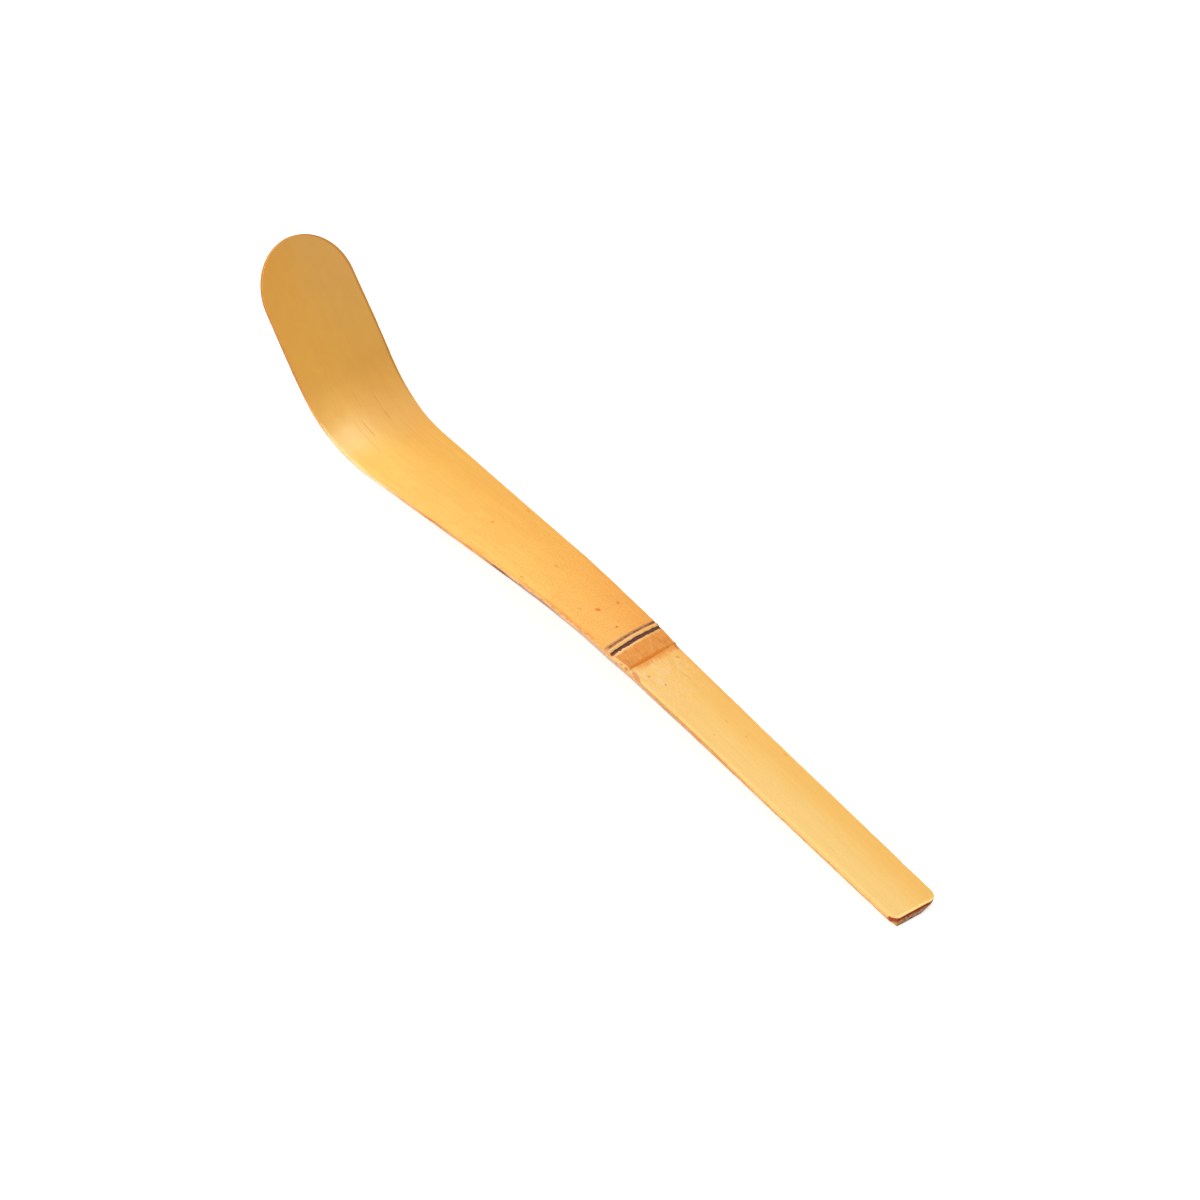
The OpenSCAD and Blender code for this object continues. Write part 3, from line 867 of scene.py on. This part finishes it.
def ridge_face():
    """Swollen ridge, paler than the skin around it."""
    f, base = ring_face("node_ridge", ("F8B468", "FFC67C", "FFCE88"), 0.42, 80, (1, 0.8, 1))
    # Painted light: the ridge's butt-side flank, which faces away from the key light, is painted a clearer
    # yellow
    base = f.tint(base, f.between(f.s, AT_RING - 0.45, AT_RING - 0.75), "FFC27A")
    base = f.tint(base, f.between(f.y, 1, 4), "FFB65E", 0.5)
    ring_s = f.stray(f.s, 0.1, (0.3, 0.6, 1), 3, 79)
    base = f.tint(base, f.between(ring_s, AT_RING - 0.46, AT_RING - 0.05), "C08650")
    base = f.tint(base, f.between(f.right, 0.5, 0.15), "DC8A44", 0.8)
    return f.finish(base, (f.noise((0.4, 0.5, 1), 3, 82), 0.03 * MM))


def band_face():
    """Rough band between the scar and the step, brown and slightly torn, chamfered on its left."""
    f = Finish("node_band", 0.62, specular=0.2)
    base = f.along(f.noise((1.6, 0.6, 1), 5, 84), (0.3, "DC8730"), (0.5, "E8963F"), (0.72, "F0A450"))
    grey = f.product(f.between(f.y, -2.2, -4), f.between(f.noise((0.9, 0.5, 1), 3, 86), 0.4, 0.6))
    base = f.tint(base, grey, "DC965C", 0.5)
    specks = f.noise((0.3, 0.22, 1), 3, 82)
    base = f.tint(base, f.between(specks, 0.52, 0.68), "D67C30", 0.4)
    base = f.tint(base, f.between(specks, 0.48, 0.34), "F4B470", 0.35)
    base = f.streaks(base, 0.04, 0.2, 85)
    light_s = f.stray(f.s, 0.2, (0.4, 0.4, 1), 3, 87)
    # Painted highlight: a pale line on the band along the scar's edge, strongest on the left
    light = f.between(light_s, AT_SCAR - 0.7, AT_SCAR - 0.4)
    light = f.product(light, f.calc("MULTIPLY_ADD", f.between(f.y, 2.5, -0.5), 0.45, 0.4))
    base = f.tint(base, light, "FFD08C")
    base = f.tint(base, f.between(light_s, AT_SCAR - 0.22, AT_SCAR - 0.06), "6E4028")
    # Painted shade: a deep orange line along the step's lip, standing in for the step's shadow
    dark = f.product(f.between(f.s, AT_STEP + 0.46, AT_STEP + 0.3), f.between(f.y, 4.5, 0))
    base = f.tint(base, dark, "F8922C", 0.9)
    base = f.tint(base, f.between(f.right, 0.8, 0.25), "F09840", 0.55)
    base = f.tint(base, f.between(f.right, 0.16, 0.06), "FFBC68", 0.7)
    taper = (CHAMFER_W[1] - CHAMFER_W[0]) / BAND_LEN
    inset = f.calc("MULTIPLY_ADD", f.s, taper, CHAMFER_W[0] / MM - taper * AT_STEP)
    inset = f.stray(inset, 0.08, (0.5, 9, 9), 3, 83)
    beyond = f.calc("SUBTRACT", f.left, inset)
    base = f.tint(base, f.between(beyond, 0.14, 0.04), "DA7A34", 0.6)
    cut = f.along(f.noise((0.8, 0.5, 1), 4, 81), (0.38, "DC8840"), (0.52, "F6B468"), (0.64, "FFCE8C"))
    base = f.mix(f.between(beyond, 0.03, -0.03), base, cut)
    crest = f.within(beyond, -0.26, -0.14, -0.06, 0.01)
    base = f.tint(base, crest, "FFDC9A", 0.6)
    grain, pits = f.noise((1.2, 0.2, 1), 5, 88), f.noise((0.35, 0.3, 1), 3, 89)
    return f.finish(base, (grain, 0.06 * MM), (pits, 0.05 * MM))


def band_side():
    """Chamfered sides of the band, whitish where the blade cut through to fresh fibre."""
    f = Finish("node_band_edge", 0.6)
    base = f.along(f.noise((1.5, 1, 0.25), 4, 90), (0.3, "F0A860"), (0.5, "F9C482"), (0.7, "FCD298"))
    base = f.tint(base, f.between(f.y, 3, 4.5), "E48E40")
    return f.finish(base, (f.noise((2, 1, 0.12), 4, 92), 0.06 * MM))


def band_end():
    """The step's little face, cut across the fibres."""
    f = Finish("node_step", 0.7)
    base = f.along(f.noise((1, 0.3, 0.2), 4, 94), (0.3, "F88C28"), (0.5, "FFA038"), (0.7, "FFB450"))
    return f.finish(base, (f.noise((1, 0.2, 0.2), 3, 96), 0.06 * MM))


def septum_face():
    """Shaved stub of the cross wall, brown and fibrous."""
    f = Finish("septum", 0.75)
    base = f.along(f.noise((0.5, 1.2, 0.5), 5, 98), (0.3, "A97A44"), (0.5, "C79A60"), (0.7, "DDB981"))
    return f.finish(base, (f.noise((0.3, 1, 0.4), 4, 99), 0.1 * MM))


# The strip's pieces


def put(piece, node):
    """Sets a piece in its CAD node's place."""
    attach(piece, "root")
    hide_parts(node)


def wood_strip(face, side, inner, end):
    """The wood of the culm wall, from the butt end to the tip."""
    s = np.concatenate([
        BUTT_STEPS,
        steps((RIGHT_CORNER_R, STEP_S, 0.3 * MM), (STEP_S, BOW_S, 0.25 * MM), (BOW_S, BEND_S, 0.9 * MM),
              (BEND_S, BOWL_S, 0.5 * MM), (BOWL_S, ROUND_S, 0.8 * MM))[1:],
        TIP_STEPS,
    ])
    s, y, fall = grid(s, 57)
    bare = s < STEP_S
    planed = 0.03 * MM * rough(s, y, 16 * MM, 1.7 * MM, 31) + 0.012 * MM * rough(s, y, 3 * MM, 0.6 * MM, 32)
    facet = 0.05 * MM * np.clip((y - 0.6 * MM) / (4 * MM), 0, 1)
    lip = np.where(s < BEVEL, BEVEL * (1 - np.sqrt(np.clip(s * (2 * BEVEL - s), 0, None)) / BEVEL), 0)
    calm = np.clip(1 - fall / BEVEL, 0, 1)
    top = -wood_sag(s, y) - np.where(bare, fall + lip + (planed + facet) * calm, 0)
    under = underside(s, y)
    fibrous = 0.04 * MM * rough(s, y, 9 * MM, 0.7 * MM, 33) * np.where(s > FLAT_S, 1, 0.3)
    under = under + np.abs(fibrous) * (1 - (np.abs(y) / half_width(s).clip(BEVEL)) ** 4)

    def torn(y, height):
        return 0.05 * MM * (1 + rough(y, height, 0.35 * MM, 0.3 * MM, 34))

    piece = slab("wood_strip_fine", s, y, top, under, 6, (face, inner, side, end), torn)
    put(piece, "wood_strip")


def skin_layer(name, node, s, columns, finishes, relief, left_edge=None):
    """Stretch of the skin layer over the given stations, seated on the wood."""
    s, y, fall = grid(s, columns, left_edge)
    calm = np.clip(1 - fall / BEVEL, 0, 1)
    top = skin_height(s) - sag(s, y) - fall + relief(s, y) * calm
    piece = slab(name, s, y, top, -wood_sag(s, y), 3, finishes)
    put(piece, node)


def tea_face_skin(face, side):
    """The smooth skin, from the node to the tip."""
    s = np.concatenate([
        steps((BOW_S, BOW_S + 4 * MM, 0.3 * MM), (BOW_S + 4 * MM, BEND_S, 0.9 * MM),
              (BEND_S, BOWL_S, 0.45 * MM), (BOWL_S, ROUND_S, 0.7 * MM)),
        TIP_STEPS,
    ])

    def relief(s, y):
        waves = 0.02 * MM * rough(s, y, 12 * MM, 3 * MM, 41)
        return waves * np.clip((s - BOW_S) / MM, 0, 1)

    skin_layer("tea_face_skin_fine", "tea_face_skin", s, 65, (face, side, side, side), relief)


def node_rings(skin_edge, ring, ridge, scar):
    """The thin ring, the ridge and the scar, which share their borders."""
    for name, slot, a, b, pitch, face, grain in (
        ("thin_ring", "grey_ring", RING_S, BOW_S, 0.05 * MM, ring, 0.015 * MM),
        ("node_ridge", "pale_ridge", RIDGE_S, RING_S, 0.08 * MM, ridge, 0.012 * MM),
        ("sheath_scar", "dark_scar", SCAR_S, RIDGE_S, 0.06 * MM, scar, 0.03 * MM),
    ):
        def relief(s, y, a=a, b=b, grain=grain):
            return grain * rough(s, y, 0.25 * MM, 0.4 * MM, 51) * hump(s, a, b)

        finishes = (face, face, skin_edge, face)
        skin_layer(f"{name}_fine", name, steps((a, b, pitch)), 75, finishes, relief)


def node_band(face, side, end):
    """The rough band, chamfered along its left side, which ends in the step."""
    s = steps((STEP_S, STEP_S + 0.6 * MM, 0.06 * MM), (STEP_S + 0.6 * MM, SCAR_S, 0.2 * MM))

    def relief(s, y):
        torn = 0.03 * MM * rough(s, y, 1.6 * MM, 0.35 * MM, 61)
        low = np.interp(y, [-4 * MM, -MM, 2.5 * MM], [0.12 * MM, 0.18 * MM, 0.24 * MM])
        lip = low * np.clip(1 - (s - STEP_S) / (1.6 * MM), 0, 1)
        lip += 0.2 * MM * np.clip(1 - (s - STEP_S) / (0.36 * MM), 0, 1)
        worn = 0.13 * MM * np.clip((y - 3.6 * MM) / (1.4 * MM), 0, 1)
        worn *= np.clip((SCAR_S - s) / (3 * MM), 0, 1)
        return torn * np.clip((SCAR_S - s) / (0.3 * MM), 0, 1) - lip - worn

    def chamfer(s):
        return [np.interp(s, [STEP_S, SCAR_S], ends) for ends in (CHAMFER_W, CHAMFER_H)]

    skin_layer("node_band_fine", "node_band", s, 75, (face, side, side, end), relief, chamfer)


def septum_stub(face):
    """What the blade left of the culm's cross wall, on the underside."""
    s = steps((SCAR_S, BOW_S, 0.1 * MM))[:, None]
    share = np.linspace(-STUB_SHARE, STUB_SHARE, 61)[None]
    s, share = np.broadcast_arrays(s, share)
    y = share * half_width(s)
    seat = underside(s, y)
    round_off = np.sqrt(np.clip(1 - (share / STUB_SHARE) ** 8, 0, 1))
    uneven = 1 + 0.18 * rough(s, y, 0.5 * MM, 0.8 * MM, 71)
    low, sunk = 0.12 * MM, 0.02 * MM
    stub = (low + (STUB_H - low) * hump(s, SCAR_S, BOW_S)) * round_off * uneven
    piece = slab("septum_stub_fine", s, y, seat + sunk, seat - stub.clip(sunk), 2, (face,) * 4)
    put(piece, "septum_stub")


wood_strip(handle_face(), side_face(), inner_face(), end_face())
skin_edge = skin_side()
tea_face_skin(skin_face(), skin_edge)
node_rings(skin_edge, thin_ring_face(), ridge_face(), scar_face())
node_band(band_face(), band_side(), band_end())
septum_stub(septum_face())


# Stage, light and camera


def seen_ray(nodes, links):
    """Socket that is 1 for rays from the camera, gloss or clear materials, 0 for light on surfaces."""
    path = nodes.new("ShaderNodeLightPath")
    seen = path.outputs["Is Camera Ray"]
    for ray in ("Is Glossy Ray", "Is Transmission Ray"):
        either = nodes.new("ShaderNodeMath")
        either.operation = "MAXIMUM"
        links.new(seen, either.inputs[0])
        links.new(path.outputs[ray], either.inputs[1])
        seen = either.outputs[0]
    return seen


def white_floor():
    """A pale floor that shows white to the camera and keeps the scoop's soft shadow."""
    mesh = bpy.data.meshes.new("floor")
    reach, grey, glow_level = 4, 0.72, 0.7
    corners = [(x * reach, y * reach, 0) for x, y in ((-1, -1), (1, -1), (1, 1), (-1, 1))]
    mesh.from_pydata(corners, [], [(0, 1, 2, 3)])
    floor = bpy.data.objects.new("floor", mesh)
    bpy.context.scene.collection.objects.link(floor)
    material = bpy.data.materials.new("white_floor")
    material.use_nodes = True
    nodes, links = material.node_tree.nodes, material.node_tree.links
    nodes.clear()
    matt = nodes.new("ShaderNodeBsdfDiffuse")
    matt.inputs["Color"].default_value = (grey, grey, grey, 1)
    glow = nodes.new("ShaderNodeEmission")
    share = nodes.new("ShaderNodeMath")
    share.operation = "MULTIPLY"
    share.inputs[1].default_value = glow_level
    both = nodes.new("ShaderNodeAddShader")
    output = nodes.new("ShaderNodeOutputMaterial")
    links.new(seen_ray(nodes, links), share.inputs[0])
    links.new(share.outputs[0], glow.inputs["Strength"])
    links.new(matt.outputs[0], both.inputs[0])
    links.new(glow.outputs[0], both.inputs[1])
    links.new(both.outputs[0], output.inputs["Surface"])
    mesh.materials.append(material)


def white_world(strength):
    """Even light from all around, which shows white to the camera."""
    world = bpy.data.worlds.new("studio")
    world.use_nodes = True
    nodes, links = world.node_tree.nodes, world.node_tree.links
    background = nodes["Background"]
    background.inputs["Color"].default_value = (1, 1, 1, 1)
    level = nodes.new("ShaderNodeMapRange")
    level.inputs["To Min"].default_value = strength
    level.inputs["To Max"].default_value = 1
    links.new(seen_ray(nodes, links), level.inputs["Value"])
    links.new(level.outputs[0], background.inputs["Strength"])
    bpy.context.scene.world = world


def soft_light(name, direction, distance, size, power, mirrored=True):
    """Square soft light that shines on the scoop from a direction, and may be left out of its gloss."""
    lamp = bpy.data.lights.new(name, "AREA")
    lamp.shape = "SQUARE"
    lamp.size = size
    lamp.energy = power
    light = bpy.data.objects.new(name, lamp)
    towards = Vector(direction).normalized()
    light.visible_glossy = mirrored
    light.location = towards * distance
    light.rotation_euler = towards.to_track_quat("Z", "Y").to_euler()
    bpy.context.scene.collection.objects.link(light)


def aimed_camera(aim, azimuth, elevation, distance, lens):
    """Camera that looks at a point from an azimuth, counted from the front (-Y) towards +X."""
    data = bpy.data.cameras.new("camera")
    data.lens = lens
    data.sensor_width = 36
    data.clip_end = 20
    camera = bpy.data.objects.new("camera", data)
    flat = math.cos(elevation)
    back = Vector((math.sin(azimuth) * flat, -math.cos(azimuth) * flat, math.sin(elevation)))
    camera.location = Vector(aim) + back * distance
    camera.rotation_euler = back.to_track_quat("Z", "Y").to_euler()
    bpy.context.scene.collection.objects.link(camera)
    bpy.context.scene.camera = camera


white_floor()
white_world(strength=0.28)
soft_light("key", direction=(-0.14, 0.36, 0.92), distance=1.2, size=0.55, power=9.4)
soft_light("fill", direction=(-0.45, -0.9, 0.24), distance=1.2, size=0.9, power=12.4, mirrored=False)
aimed_camera(
    aim=(-0.02 * MM, 2.156 * MM, 4.129 * MM),
    azimuth=math.radians(51.363),
    elevation=math.radians(45.476),
    distance=1.1204,
    lens=200,
)

scene = bpy.context.scene
scene.view_settings.view_transform = "Standard"
